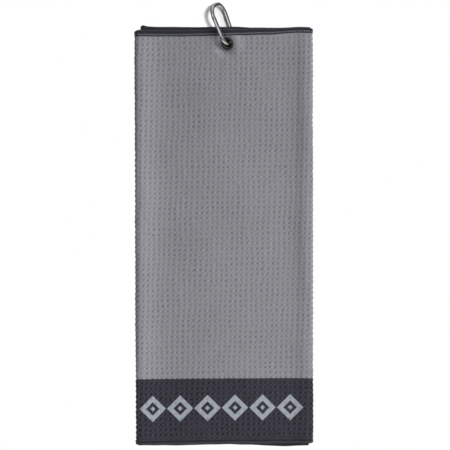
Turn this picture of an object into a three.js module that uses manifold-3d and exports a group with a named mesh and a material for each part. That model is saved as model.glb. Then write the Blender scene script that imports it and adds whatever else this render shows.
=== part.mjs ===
// Tri-fold golf towel on a spring-gate carabiner.
// Millimetres, +Z up along the towel, +X to the right seen from the front, front face towards -Y.
// The origin is the middle of the folded towel's flat back face.
import * as THREE from 'three';
import { mergeVertices } from 'three/addons/utils/BufferGeometryUtils.js';
import Module from 'manifold-3d';

const wasm = await Module();
wasm.setup();

// ---------- towel dimensions ----------
const FOLDED_W = 173;          // width of the folded towel, over both folds
const LENGTH = 406;            // length of the front panel, over the hems
const LAYER = 1.8;             // one layer of waffle cloth
const GAP = 0.3;               // clearance between neighbouring pieces
const TOP_HEM = 6;             // height of the top hem tape
const BOTTOM_HEM = 5;          // height of the bottom hem tape
const SIDE_HEM = 4;            // width of the bound side edges
const INNER_TAPE_RECESS = 0.6; // the inner flap's tape lies this far behind its cloth's front face
const INNER_LIFT = 2.9;        // the inner flap's free corner stands this far above the front hem
const OUTER_DROP = 3.4;        // the outer flap's free corner hangs this far below the front hem
const INNER_FREE_X = -79.5;    // free edge of the inner flap
const OUTER_FREE_X = 82.5;     // free edge of the outer flap
const SPLIT_Z = 125;           // the outer flap is clamped above this height and swings below it
const FOLD_SHELL = 0.75;       // wall of the two fixed left fold pieces
const LAP_R = 1.95;            // outside radius of the curl on the outer flap

const THREAD_W = 0.6;          // seam thread, width
const THREAD_T = 0.3;          // seam thread, thickness
const ROW_INSET = 1.4;         // level threads, from the hem's inner edge
const SIDE_INSET = 1.2;        // upright threads, from the side hem's inner edge
const THREAD_END = 1;          // the threads' ends, from the edges and the split

// ---------- eyelet dimensions ----------
const EYE_X = 4.1;             // eyelet centre
const EYE_Z = 188.8;
const EYE_BORE_R = 4.1;
const EYE_FLANGE_R = 6.3;
const EYE_HALF = 2.1;          // half the eyelet's length along its axis
const EYE_TURN = 25;           // degrees, the eyelet is drawn round by the clip
const EYE_FORWARD = 1.0;       // the eyelet stands this far forward of the stack's middle
const EYE_CUT_LENGTH = 24;     // length of the cutter for the openings in the cloth

// ---------- carabiner dimensions ----------
// Names ending in _L are heights along the clip, measured from the clip's origin.
const CLIP_LEAN = 21;          // degrees, the clip leans to the left
const CLIP_TURN = 38;          // degrees, the loop's plane against the towel's normal
const CLIP_OFFSET = 2.0;       // the loop's middle line, to the right of the eyelet centre
const WIRE_R = 1.9;
const LEG_LOW = 8.9;           // half width of the loop at the hinge, wire centre
const LEG_HIGH = 10.2;         // half width of the loop at the nose, wire centre
const BEND_L = 6.2;            // where the lower bend starts
const BEND_DEPTH = 7.0;
const SHOULDER_L = 28.5;       // where the arch starts
const ARCH_RISE = 11.5;
const ARCH_FLAT = 2.0;         // half length of the straight crown
const CROWN_U = 1.5;           // the crown stands this far towards the spine
const SEAT_DEPTH = 0.45;       // depth of the flat on the inside of the crown
const SEAT_FLARE = 1.6;        // the flat's cutter widens by this much at each lower corner
const SEAT_CUT_DROP = 1.2;     // the flat's cutter reaches this far below the wire
const CROSS_CUT = 8;           // length of the cutters that run through the loop's plane

const GATE_R = 1.95;
const GATE_BORE_R = 1.2;
const GATE_BORE_LENGTH = 15.8;
const GATE_BORE_L = 16.7;      // middle of the bore
const GATE_LOW = 5.4;          // lower end of the gate
const GATE_HIGH = 29.6;        // upper end of the gate
const GATE_ROOM_R = 3.2;       // the wire is cut away this far round the gate
const HINGE_ROOM = 0.15;       // clearance round the gate's swinging lower end
const HINGE_L = 7.3;           // gate hinge pin
const CAM_L = 8.5;             // flat end of the hinge tongue, which the plunger faces
const LATCH_L = 28.1;          // latch pin
const HINGE_ROOT_L = 3.6;      // where the hinge tongue leaves the wire
const NOSE_ROOT_L = 31.2;      // where the nose tongue leaves the wire
const TONGUE_T = 1.3;
const SLOT_T = 1.9;
const SLOT_HALF_W = 4;         // the slot cutters' half width across the gate
const SLOT_OVERRUN = 2;        // the slot cutters run this far past the gate's ends
const LOW_SLOT_DEPTH = 1.9;    // above the hinge pin
const HIGH_SLOT_DEPTH = 1.8;   // below the latch pin
const PIN_R = 0.6;
const PIN_BORE_R = 0.65;
const PIN_LENGTH = 2 * GATE_R - 0.1;
const PIN_CHAMFER = 0.12;

const PLUNGER_STEM = 1.5;      // length of the plunger below its own origin
const SPRING_L = 18.2;         // middle of the spring
const SPRING_HALF = 5.8;       // half the spring's length
const SPRING_TURNS = 9;
const SPRING_R = 0.75;         // radius of the coil's centre line
const SPRING_WIRE_R = 0.13;

// ---------- finishes ----------
const silver = (roughness) => ({ color: 0xc9cacc, roughness, metalness: 1 });
const CLOTH = { color: 0x8b8b90, roughness: 0.95, metalness: 0 };
const TAPE = { color: 0x383a40, roughness: 0.85, metalness: 0 };
const THREAD = { color: 0x9a9ca2, roughness: 0.8, metalness: 0 };
const DARK_THREAD = { color: 0x1e1f24, roughness: 0.8, metalness: 0 };
const GUNMETAL = { color: 0x2b2725, roughness: 0.35, metalness: 1 };
const BODY_SILVER = silver(0.16);
const GATE_SILVER = silver(0.18);
const PIN_SILVER = silver(0.22);
const PLUNGER_SILVER = silver(0.3);
const SPRING_SILVER = silver(0.35);

const towel = new THREE.Group();
towel.name = 'golf_towel';

function add(name, geometry, finish) {
  const mesh = new THREE.Mesh(geometry, new THREE.MeshStandardMaterial(finish));
  mesh.name = name;
  towel.add(mesh);
}

// ---------- helpers ----------
const rad = (degrees) => (degrees * Math.PI) / 180;

function toManifold(geometry) {
  const bare = geometry.clone();
  bare.deleteAttribute('normal');
  bare.deleteAttribute('uv');
  const merged = mergeVertices(bare, 1e-5);
  return new wasm.Manifold(new wasm.Mesh({
    numProp: 3,
    vertProperties: new Float32Array(merged.attributes.position.array),
    triVerts: new Uint32Array(merged.index.array),
  }));
}

function fromManifold(solid) {
  const mesh = solid.getMesh();
  const geometry = new THREE.BufferGeometry();
  const positions = new Float32Array(mesh.vertProperties);
  geometry.setAttribute('position', new THREE.BufferAttribute(positions, 3));
  geometry.setIndex(new THREE.BufferAttribute(new Uint32Array(mesh.triVerts), 1));
  geometry.computeVertexNormals();
  return geometry;
}

// Takes each tool geometry away from a manifold solid.
const carve = (solid, ...tools) => tools.reduce(
  (rest, tool) => rest.subtract(toManifold(tool)),
  solid,
);

function block([x0, x1], [y0, y1], [z0, z1]) {
  const geometry = new THREE.BoxGeometry(x1 - x0, y1 - y0, z1 - z0);
  return geometry.translate((x0 + x1) / 2, (y0 + y1) / 2, (z0 + z1) / 2);
}

const extrude = (points, depth) => new THREE.ExtrudeGeometry(
  new THREE.Shape(points.map(([x, y]) => new THREE.Vector2(x, y))),
  { depth, bevelEnabled: false },
);

// A flat piece between y0 and y1, its outline given as [x, z] points.
function slab(points, [y0, y1]) {
  const geometry = extrude(points, y1 - y0);
  geometry.rotateX(Math.PI / 2); // the outline stands up in X and Z, the thickness runs to -Y
  return geometry.translate(0, y1, 0);
}

// A slab centred on y = 0.
const plate = (points, thickness) => slab(points, [-thickness / 2, thickness / 2]);

// An upright piece between z0 and z1, its plan given as [x, y] points.
const post = (points, [z0, z1]) => extrude(points, z1 - z0).translate(0, 0, z0);

const ellipse = (cx, cy, rx, ry, from, to, steps) => Array.from({ length: steps + 1 }, (_, i) => {
  const angle = rad(from + ((to - from) * i) / steps);
  return [cx + rx * Math.cos(angle), cy + ry * Math.sin(angle)];
});
const arc = (cx, cy, r, from, to, steps) => ellipse(cx, cy, r, r, from, to, steps);

// A turned piece about +Y, its profile given as [radius, height] points.
const lathe = (profile, segments) => new THREE.LatheGeometry(
  profile.map(([r, h]) => new THREE.Vector2(r, h)),
  segments,
);

// A round wire along a curve.
function bentWire(path, radius, steps, curveSegments) {
  const section = new THREE.Shape();
  section.absarc(0, 0, radius, 0, Math.PI * 2, false);
  return new THREE.ExtrudeGeometry(section, {
    steps, curveSegments, extrudePath: path, bevelEnabled: false,
  });
}

// ---------- towel layout ----------
const half = LENGTH / 2;
const top = half - TOP_HEM;               // lower edge of the top hem
const bottom = -half + BOTTOM_HEM;        // upper edge of the bottom hem
const stack = 3 * LAYER + 2 * GAP;
const yMid = -stack / 2;
const yFront = [-stack, -stack + LAYER];
const yInner = [-2 * LAYER - GAP, -LAYER - GAP];
const yInnerTape = [yInner[0] + INNER_TAPE_RECESS, yInner[1]];
const yOuter = [-LAYER, 0];

// The left fold wraps the whole stack, the right one the front panel and the inner flap.
const leftR = stack / 2;
const leftX = -FOLDED_W / 2 + leftR;
const rightR = (yInner[1] - yFront[0]) / 2;
const rightX = FOLDED_W / 2 - rightR;
const rightY = (yInner[1] + yFront[0]) / 2;

// inner edges of the side hems
const innerHemX = INNER_FREE_X + SIDE_HEM;
const outerHemX = OUTER_FREE_X - SIDE_HEM;

const frontSpan = [leftX, rightX];
const innerSpan = [innerHemX + GAP, rightX - GAP];
const outerSpan = [leftX, outerHemX - GAP];
const innerHemSpan = [INNER_FREE_X, innerHemX];
const outerHemSpan = [outerHemX, OUTER_FREE_X];

const fullZ = [-half, half];
const clothZ = [bottom + GAP, top - GAP];
const topHemZ = [top, half];
const bottomHemZ = [-half, bottom];
const splitTop = SPLIT_Z + GAP / 2;
const splitBottom = SPLIT_Z - GAP / 2;

// How far each layer is raised at a given x: the two flaps slope against the front panel.
const level = () => 0;
const innerLift = (x) => (INNER_LIFT * (rightX - x)) / (rightX - INNER_FREE_X);
const outerDrop = (x) => (-OUTER_DROP * (x - leftX)) / (OUTER_FREE_X - leftX);

// A rectangular piece of a layer, sheared upright by the layer's shift.
const band = ([x0, x1], [z0, z1], shift, depths) => slab([
  [x0, z0 + shift(x0)],
  [x1, z0 + shift(x1)],
  [x1, z1 + shift(x1)],
  [x0, z1 + shift(x0)],
], depths);

// ---------- eyelet frame ----------
// The clip leans in the towel's plane: clipAcross points to its right, clipUp along it.
const clipAcross = new THREE.Vector3(Math.cos(rad(CLIP_LEAN)), 0, Math.sin(rad(CLIP_LEAN)));
const clipUp = new THREE.Vector3(-Math.sin(rad(CLIP_LEAN)), 0, Math.cos(rad(CLIP_LEAN)));
const backward = new THREE.Vector3(0, 1, 0);
// the backward direction, turned towards clipAcross
const turned = (degrees) => clipAcross.clone().multiplyScalar(Math.sin(rad(degrees)))
  .addScaledVector(backward, Math.cos(rad(degrees)));

// A geometry made about +Y is stood on the eyelet's axis.
const eyeAxis = turned(EYE_TURN);
const eyeSide = new THREE.Vector3().crossVectors(eyeAxis, clipUp);
const eyeMatrix = new THREE.Matrix4().makeBasis(eyeSide, eyeAxis, clipUp)
  .setPosition(EYE_X, yMid - EYE_FORWARD, EYE_Z);
const onEyelet = (geometry) => geometry.applyMatrix4(eyeMatrix);

function withEyeOpening(cloth) {
  const radius = EYE_FLANGE_R + GAP;
  const opening = onEyelet(new THREE.CylinderGeometry(radius, radius, EYE_CUT_LENGTH, 40));
  return fromManifold(carve(toManifold(cloth), opening));
}

// ---------- cloth ----------
// The lower outer flap, with a curl at its left edge that follows the back half of the left fold.
function outerFlap() {
  const flap = post([
    [outerSpan[1], yOuter[0]],
    [outerSpan[1], yOuter[1]],
    [leftX, yOuter[1]],
    ...arc(leftX, yMid, LAP_R, 90, 176, 12),
    ...arc(leftX, yMid, leftR - LAYER, 176, 90, 10),
  ], [bottom + GAP, splitBottom]);
  const slope = outerDrop(leftX + 1);
  return flap.applyMatrix4(new THREE.Matrix4().set(
    1, 0, 0, 0,
    0, 1, 0, 0,
    slope, 0, 1, -slope * leftX,
    0, 0, 0, 1,
  ));
}

// The front half of the left fold, stopping short of the front panel's edge.
function leftFold() {
  const edge = leftX - GAP;
  return post([
    ...arc(leftX, yMid, leftR, 180, 270, 14),
    [edge, -stack],
    ...arc(leftX, yMid, leftR - FOLD_SHELL, 264, 180, 12),
  ].filter(([x]) => x <= edge), fullZ);
}

// The back half of the left fold, above the split.
const leftFoldHead = () => post([
  ...arc(leftX - GAP, yMid, leftR, 92, 176, 12),
  ...arc(leftX - GAP, yMid, leftR - FOLD_SHELL, 176, 92, 10),
], [splitTop, half]);

const rightFold = () => post(arc(rightX + GAP, rightY, rightR - GAP, -90, 90, 18), fullZ);

add('front_panel', withEyeOpening(block(frontSpan, yFront, clothZ)), CLOTH);
add('inner_flap', withEyeOpening(band(innerSpan, clothZ, innerLift, yInner)), CLOTH);
const headCloth = band(outerSpan, [splitTop, top - GAP], outerDrop, yOuter);
add('outer_flap_head', withEyeOpening(headCloth), CLOTH);
add('outer_flap', outerFlap(), CLOTH);
add('left_fold', leftFold(), CLOTH);
add('left_fold_head', leftFoldHead(), CLOTH);
add('right_fold', rightFold(), CLOTH);

// ---------- hems ----------
add('front_top_hem', block(frontSpan, yFront, topHemZ), TAPE);
add('front_bottom_hem', block(frontSpan, yFront, bottomHemZ), TAPE);
for (const [name, span, heights, shift, depths] of [
  ['inner_flap_top_hem', innerSpan, topHemZ, innerLift, yInnerTape],
  ['inner_flap_bottom_hem', innerSpan, bottomHemZ, innerLift, yInnerTape],
  ['inner_flap_side_hem', innerHemSpan, fullZ, innerLift, yInnerTape],
  ['outer_flap_top_hem', outerSpan, topHemZ, outerDrop, yOuter],
  ['outer_flap_bottom_hem', outerSpan, bottomHemZ, outerDrop, yOuter],
  ['outer_flap_head_side_hem', outerHemSpan, [splitTop, half], outerDrop, yOuter],
  ['outer_flap_side_hem', outerHemSpan, [-half, splitBottom], outerDrop, yOuter],
]) add(name, band(span, heights, shift, depths), TAPE);

// ---------- seam threads ----------
const aboutThread = (middle) => [middle - THREAD_W / 2, middle + THREAD_W / 2];
const threadDepth = (y) => [y, y + THREAD_T];

// the level threads along the top and bottom hems of one layer
function addRows(layer, span, shift, y) {
  const row = (z) => band(span, aboutThread(z), shift, threadDepth(y));
  add(`${layer}_top_thread`, row(top + ROW_INSET), THREAD);
  add(`${layer}_bottom_thread`, row(bottom - ROW_INSET), DARK_THREAD);
}

function addSideThread(name, x, [z0, z1], shift, y) {
  const heights = [z0 + THREAD_END, z1 - THREAD_END];
  add(name, band(aboutThread(x), heights, shift, threadDepth(y)), DARK_THREAD);
}

const frontThreadY = yFront[0] - GAP - THREAD_T;
const innerThreadY = yInner[0];
const outerThreadY = GAP;
const innerSideX = innerHemX - SIDE_INSET;
const outerSideX = outerHemX + SIDE_INSET;
const rowLeft = leftX + THREAD_END;
const rowRight = rightX - THREAD_END;
addRows('front', [rowLeft, rowRight], level, frontThreadY);
addRows('inner_flap', [innerHemX + THREAD_END, rowRight], innerLift, innerThreadY);
addSideThread('inner_flap_side_thread', innerSideX, fullZ, innerLift, innerThreadY);
addRows('outer_flap', [rowLeft, outerHemX - THREAD_END], outerDrop, outerThreadY);
for (const [name, heights] of [
  ['outer_flap_side_thread', [-half, SPLIT_Z]],
  ['outer_flap_head_side_thread', [SPLIT_Z, half]],
]) addSideThread(name, outerSideX, heights, outerDrop, outerThreadY);

// ---------- eyelet ----------
// [radius, height along the axis]: the wide flange is at the front, the narrow rim at the back
const BARREL_PROFILE = [
  [EYE_BORE_R, -EYE_HALF + 0.35],
  [EYE_BORE_R + 0.1, -EYE_HALF + 0.12],
  [EYE_BORE_R + 0.35, -EYE_HALF],
  [EYE_FLANGE_R - 0.4, -EYE_HALF],
  [EYE_FLANGE_R - 0.12, -EYE_HALF + 0.12],
  [EYE_FLANGE_R, -EYE_HALF + 0.4],
  [EYE_FLANGE_R - 0.1, -EYE_HALF + 0.7],
  [EYE_BORE_R + 0.7, -EYE_HALF + 0.7],
  [EYE_BORE_R + 0.7, EYE_HALF - 0.5],
  [EYE_BORE_R + 1.6, EYE_HALF - 0.5],
  [EYE_BORE_R + 1.75, EYE_HALF - 0.25],
  [EYE_BORE_R + 1.5, EYE_HALF],
  [EYE_BORE_R + 0.3, EYE_HALF],
  [EYE_BORE_R, EYE_HALF - 0.3],
  [EYE_BORE_R, -EYE_HALF + 0.35],
];
const WASHER_PROFILE = [
  [EYE_BORE_R + 1.0, EYE_HALF - 1.5],
  [EYE_FLANGE_R - 0.2, EYE_HALF - 1.5],
  [EYE_FLANGE_R, EYE_HALF - 1.3],
  [EYE_FLANGE_R, EYE_HALF - 1.0],
  [EYE_FLANGE_R - 0.2, EYE_HALF - 0.8],
  [EYE_BORE_R + 1.0, EYE_HALF - 0.8],
  [EYE_BORE_R + 1.0, EYE_HALF - 1.5],
];
add('eyelet_barrel', onEyelet(lathe(BARREL_PROFILE, 40)), GUNMETAL);
add('eyelet_washer', onEyelet(lathe(WASHER_PROFILE, 40)), GUNMETAL);

// ---------- carabiner frame ----------
// Drawn in its own plane: x across the loop (gate at -x, spine at +x), z along it, y through it.
const loopAcross = turned(CLIP_TURN);
const loopNormal = new THREE.Vector3().crossVectors(clipUp, loopAcross);
const clipOrigin = new THREE.Vector3(EYE_X, yMid, EYE_Z).addScaledVector(clipAcross, CLIP_OFFSET);
const clipMatrix = new THREE.Matrix4().makeBasis(loopAcross, loopNormal, clipUp)
  .setPosition(clipOrigin);
const onClip = (geometry) => geometry.applyMatrix4(clipMatrix);

// The gate lies on the line between the loop's two half widths, on the -x side.
const legSpread = LEG_HIGH - LEG_LOW;
const legRise = SHOULDER_L - BEND_L;
const legDir = new THREE.Vector2(-legSpread, legRise).normalize();
const legX = (height) => -LEG_LOW - (legSpread * (height - BEND_L)) / legRise;
const hingeX = legX(HINGE_L);
const latchX = legX(LATCH_L);
const gateLength = (GATE_HIGH - GATE_LOW) / legDir.y;
const gateMiddle = (GATE_HIGH + GATE_LOW) / 2;

// A geometry made about +Y is laid along the gate, its origin at the given height.
const alongGate = (geometry, height) => geometry.applyMatrix4(new THREE.Matrix4().makeBasis(
  new THREE.Vector3(legDir.y, 0, -legDir.x),
  new THREE.Vector3(legDir.x, 0, legDir.y),
  new THREE.Vector3(0, -1, 0),
).setPosition(legX(height), 0, height));

const gateRod = (radius, length, segments, height) => alongGate(
  new THREE.CylinderGeometry(radius, radius, length, segments),
  height,
);

// A cutter through the loop's plane.
const crossCutter = (radius, x, z, segments = 20) => (
  new THREE.CylinderGeometry(radius, radius, CROSS_CUT, segments).translate(x, 0, z)
);

// ---------- carabiner body ----------
// Centre line of the wire, from the gate hinge round the lower bend, up the spine and over
// to the nose.
function loopPath() {
  const spine = Array.from({ length: 8 }, (_, i) => {
    const t = (i + 1) / 9;
    return [LEG_LOW + legSpread * t, BEND_L + legRise * t];
  });
  const spineArchW = LEG_HIGH - ARCH_FLAT - CROWN_U;
  const noseArchW = LEG_HIGH - ARCH_FLAT + CROWN_U;
  const points = [
    ...ellipse(0, BEND_L, LEG_LOW, BEND_DEPTH, 183, 360, 24),
    ...spine,
    ...ellipse(CROWN_U + ARCH_FLAT, SHOULDER_L, spineArchW, ARCH_RISE, 0, 90, 14),
    ...ellipse(CROWN_U - ARCH_FLAT, SHOULDER_L, noseArchW, ARCH_RISE, 90, 176, 14).slice(1),
  ].map(([x, z]) => new THREE.Vector3(x, 0, z));
  return new THREE.CatmullRomCurve3(points, false, 'centripetal');
}

// Tongues at both ends of the wire, which the forked gate straddles, as [x, z] outlines.
const HINGE_TONGUE = [
  [legX(HINGE_ROOT_L) - 1.35, HINGE_ROOT_L],
  [legX(HINGE_ROOT_L) + 1.3, HINGE_ROOT_L],
  [hingeX + 1.45, HINGE_L],
  [hingeX + 1.3, HINGE_L + 0.85],
  [hingeX + 1.0, CAM_L],
  [hingeX - 1.0, CAM_L],
  [hingeX - 1.3, HINGE_L + 0.85],
  [hingeX - 1.45, HINGE_L],
];
// a hook round the latch pin, open towards the spine
const NOSE_TONGUE = [
  [legX(NOSE_ROOT_L) + 1.5, NOSE_ROOT_L],
  [latchX + 1.5, LATCH_L + 1.15],
  [latchX - 0.3, LATCH_L + 0.95],
  [latchX - 0.8, LATCH_L + 0.55],
  [latchX - 0.95, LATCH_L],
  [latchX - 0.8, LATCH_L - 0.45],
  [latchX - 0.35, LATCH_L - 0.8],
  [latchX + 0.75, LATCH_L - 0.72],
  [latchX + 0.55, LATCH_L - 1.05],
  [latchX - 0.2, LATCH_L - 1.3],
  [latchX - 1.5, LATCH_L - 1.1],
  [latchX - 1.6, LATCH_L + 0.6],
  [legX(NOSE_ROOT_L) - 0.9, NOSE_ROOT_L],
];

// Cuts the flat on the inside of the crown.
function seatCutter() {
  const insideZ = SHOULDER_L + ARCH_RISE - WIRE_R;
  return plate([
    [CROWN_U - ARCH_FLAT, insideZ + SEAT_DEPTH],
    [CROWN_U - ARCH_FLAT - SEAT_FLARE, insideZ - SEAT_CUT_DROP],
    [CROWN_U + ARCH_FLAT + SEAT_FLARE, insideZ - SEAT_CUT_DROP],
    [CROWN_U + ARCH_FLAT, insideZ + SEAT_DEPTH],
  ], CROSS_CUT);
}

function carabinerBody() {
  const gateRoom = gateRod(GATE_ROOM_R, gateLength + 2 * GAP, 28, gateMiddle);
  const hingeRoomR = Math.hypot(GATE_R, HINGE_L - GATE_LOW) + HINGE_ROOM;
  const hingeRoom = crossCutter(hingeRoomR, hingeX, HINGE_L, 48);
  const wire = toManifold(bentWire(loopPath(), WIRE_R, 76, 12));
  const tongued = carve(wire, gateRoom, hingeRoom)
    .add(toManifold(plate(HINGE_TONGUE, TONGUE_T)))
    .add(toManifold(plate(NOSE_TONGUE, TONGUE_T)));
  const pinBore = crossCutter(PIN_BORE_R, hingeX, HINGE_L);
  return fromManifold(carve(tongued, pinBore, seatCutter()));
}
add('carabiner_body', onClip(carabinerBody()), BODY_SILVER);

// ---------- gate ----------
// A tube with a fork at each end.
function gate() {
  const slot = (x, heights) => block(
    [x - SLOT_HALF_W, x + SLOT_HALF_W],
    [-SLOT_T / 2, SLOT_T / 2],
    heights,
  );
  return fromManifold(carve(
    toManifold(gateRod(GATE_R, gateLength, 28, gateMiddle)),
    gateRod(GATE_BORE_R, GATE_BORE_LENGTH, 20, GATE_BORE_L),
    slot(legX(GATE_LOW), [GATE_LOW - SLOT_OVERRUN, HINGE_L + LOW_SLOT_DEPTH]),
    slot(legX(GATE_HIGH), [LATCH_L - HIGH_SLOT_DEPTH, GATE_HIGH + SLOT_OVERRUN]),
    crossCutter(PIN_BORE_R, hingeX, HINGE_L),
    crossCutter(PIN_BORE_R, latchX, LATCH_L),
  ));
}
add('gate', onClip(gate()), GATE_SILVER);

// A rivet through the gate, with chamfered ends.
function pin(x, z) {
  const end = PIN_LENGTH / 2;
  return lathe([
    [0, -end],
    [PIN_R * 0.6, -end],
    [PIN_R, -end + PIN_CHAMFER],
    [PIN_R, end - PIN_CHAMFER],
    [PIN_R * 0.6, end],
    [0, end],
  ], 20).translate(x, 0, z);
}
add('gate_hinge_pin', onClip(pin(hingeX, HINGE_L)), PIN_SILVER);
add('latch_pin', onClip(pin(latchX, LATCH_L)), PIN_SILVER);

// ---------- plunger and spring, inside the gate ----------
// [radius, height]: the stem points down to the flat of the hinge tongue
const PLUNGER_PROFILE = [
  [0, -PLUNGER_STEM], [0.6, -PLUNGER_STEM], [0.75, -PLUNGER_STEM + 0.15],
  [0.75, 0.3], [0.9, 0.3], [0.9, 1.3], [0, 1.3],
];
const plunger = alongGate(lathe(PLUNGER_PROFILE, 18), CAM_L + GAP + PLUNGER_STEM);
add('spring_plunger', onClip(plunger), PLUNGER_SILVER);

class Coil extends THREE.Curve {
  getPoint(t, target = new THREE.Vector3()) {
    const angle = t * SPRING_TURNS * Math.PI * 2;
    return target.set(
      SPRING_R * Math.cos(angle),
      -SPRING_HALF + 2 * SPRING_HALF * t,
      SPRING_R * Math.sin(angle),
    );
  }
}
const spring = alongGate(bentWire(new Coil(), SPRING_WIRE_R, 126, 3), SPRING_L);
add('gate_spring', onClip(spring), SPRING_SILVER);

export default towel;
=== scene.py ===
"""Golf towel, folded in thirds, hung by an eyelet from a spring-gate carabiner.

The towel stands upright in the x-z plane with its front facing -y and both flaps folded behind
it at +y. Lengths are in millimetres and are divided by 1000 when a mesh is made.

The cloth is described by one path. "across" runs along it (0 at the middle of the front, the left
fold and outer flap at -across, the right fold and inner flap at +across), "up" runs up the towel,
and "height" is measured from the cloth's middle towards its face side.
"""
import math

import bmesh
import bpy
import numpy as np
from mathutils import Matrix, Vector


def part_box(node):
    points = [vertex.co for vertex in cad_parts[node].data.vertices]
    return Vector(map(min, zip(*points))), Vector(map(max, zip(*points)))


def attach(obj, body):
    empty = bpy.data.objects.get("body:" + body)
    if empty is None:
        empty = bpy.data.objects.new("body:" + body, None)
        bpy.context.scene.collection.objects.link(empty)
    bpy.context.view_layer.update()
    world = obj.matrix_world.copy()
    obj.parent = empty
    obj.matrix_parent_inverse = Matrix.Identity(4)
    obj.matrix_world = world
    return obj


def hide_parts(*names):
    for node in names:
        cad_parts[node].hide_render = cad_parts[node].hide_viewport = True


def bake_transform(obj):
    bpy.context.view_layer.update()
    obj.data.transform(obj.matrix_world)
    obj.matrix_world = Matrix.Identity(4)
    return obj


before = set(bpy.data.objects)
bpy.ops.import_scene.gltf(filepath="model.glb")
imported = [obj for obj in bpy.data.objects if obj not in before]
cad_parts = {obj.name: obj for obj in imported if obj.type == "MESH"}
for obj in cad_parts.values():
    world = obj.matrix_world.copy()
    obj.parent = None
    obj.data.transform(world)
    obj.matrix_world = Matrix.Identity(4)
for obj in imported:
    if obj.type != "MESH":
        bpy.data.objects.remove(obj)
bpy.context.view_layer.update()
MM = 1000.0


def corners(node):
    low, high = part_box(node)
    return np.array(low) * MM, np.array(high) * MM


# ---------------------------------------------------------------- sizes, from the CAD pieces
FRONT_LO, FRONT_HI = corners("front_panel")
INNER_LO, INNER_HI = corners("inner_flap")
OUTER_LO, OUTER_HI = corners("outer_flap_head")
INNER_EDGE = corners("inner_flap_side_hem")[0][0]
OUTER_EDGE = corners("outer_flap_side_hem")[1][0]
HALF = corners("left_fold")[1][2]  # the towel reaches from -HALF to HALF
TOP = corners("front_top_hem")[0][2]  # inner edges of the top and bottom hems
BOTTOM = corners("front_bottom_hem")[1][2]
LEFT_X, RIGHT_X = FRONT_LO[0], FRONT_HI[0]  # the front's path and x agree between these
HALF_CLOTH = (FRONT_HI[1] - FRONT_LO[1]) / 2
FRONT_Y = (FRONT_LO[1] + FRONT_HI[1]) / 2
INNER_Y = (INNER_LO[1] + INNER_HI[1]) / 2
OUTER_Y = (OUTER_LO[1] + OUTER_HI[1]) / 2
STACK_Y = (FRONT_LO[1] + OUTER_HI[1]) / 2
STACK_DEPTH = OUTER_HI[1] - FRONT_LO[1]
RIGHT_RADIUS = (INNER_Y - FRONT_Y) / 2
LEFT_RADIUS = (OUTER_Y - FRONT_Y) / 2

# places along the path: ends of the folds, free edges, and joins between the cloth meshes
RIGHT_END = RIGHT_X + math.pi * RIGHT_RADIUS
INNER_END = RIGHT_END + (RIGHT_X - INNER_EDGE)
LEFT_END = LEFT_X - math.pi * LEFT_RADIUS
OUTER_END = LEFT_END - (OUTER_EDGE - LEFT_X)
LEFT_JOIN = LEFT_END - 4.0
RIGHT_JOIN = RIGHT_END + 4.0

# eyelet: middle, lean in the x-z plane, and turn about its own upright
LEAN, TURN = math.radians(21), math.radians(25)
EYE = np.array([4.1, -4.0, 188.8])
EYE_LO, EYE_HI = corners("eyelet_barrel")
assert np.abs((EYE_LO + EYE_HI) / 2 - EYE).max() < 0.5, "the eyelet isn't where the cloth needs it"
LEAN_RIGHT = np.array([math.cos(LEAN), 0, math.sin(LEAN)])
LEAN_UP = np.array([-math.sin(LEAN), 0, math.cos(LEAN)])
BACKWARD = np.array([0.0, 1.0, 0.0])
EYE_AXIS = math.sin(TURN) * LEAN_RIGHT + math.cos(TURN) * BACKWARD
EYE_SIDE = math.cos(TURN) * LEAN_RIGHT - math.sin(TURN) * BACKWARD
HOLE_RADIUS = 5.05

# waffle cell and hems
CELL_ACROSS, CELL_UP = 5.04, 5.03
SIDE_HEM = 4.0
SIDE_SEAM = 2.8  # from the free edge in to the side hem's stitches
STITCH_PITCH = 2.18


# ---------------------------------------------------------------- fields and curves
def step(value, low, high):
    """Smooth rise from 0 at low to 1 at high."""
    part = np.clip((value - low) / (high - low), 0, 1)
    return part * part * (3 - 2 * part)


def noise_field(seed, count, short, long):
    """A smooth field of across and up made of a few waves, with deviation about 1."""
    rng = np.random.default_rng(seed)
    wave_number = 2 * math.pi / rng.uniform(short, long, count)
    angle = rng.uniform(0, math.pi, count)
    phase = rng.uniform(0, 2 * math.pi, count)

    def field(across, up):
        total = np.zeros(np.broadcast(across, up).shape)
        for i in range(count):
            along = across * math.cos(angle[i]) + up * math.sin(angle[i])
            total = total + np.sin(wave_number[i] * along + phase[i])
        return total * math.sqrt(2.0 / count)

    return field


drape = noise_field(seed=3, count=9, short=45, long=140)
drift_across = noise_field(seed=5, count=7, short=30, long=110)
drift_up = noise_field(seed=8, count=7, short=30, long=110)
edge_wave = noise_field(seed=13, count=5, short=18, long=60)
pit_depth = noise_field(seed=17, count=16, short=8, long=50)
jitter_across = noise_field(seed=29, count=14, short=8, long=20)
jitter_up = noise_field(seed=31, count=14, short=8, long=20)


def smooth_curve(stations, values, sigma):
    """Curve through values at x stations, blurred by a Gaussian of deviation sigma."""
    grid = np.linspace(-110, 110, 881)
    kernel = np.exp(-0.5 * (np.arange(-40, 41) * 0.25 / sigma) ** 2)
    kernel /= kernel.sum()
    curve = np.interp(grid, stations, values)
    curve = np.convolve(np.pad(curve, 40, mode="edge"), kernel, mode="valid")
    return lambda x: np.interp(x, grid, curve)


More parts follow.
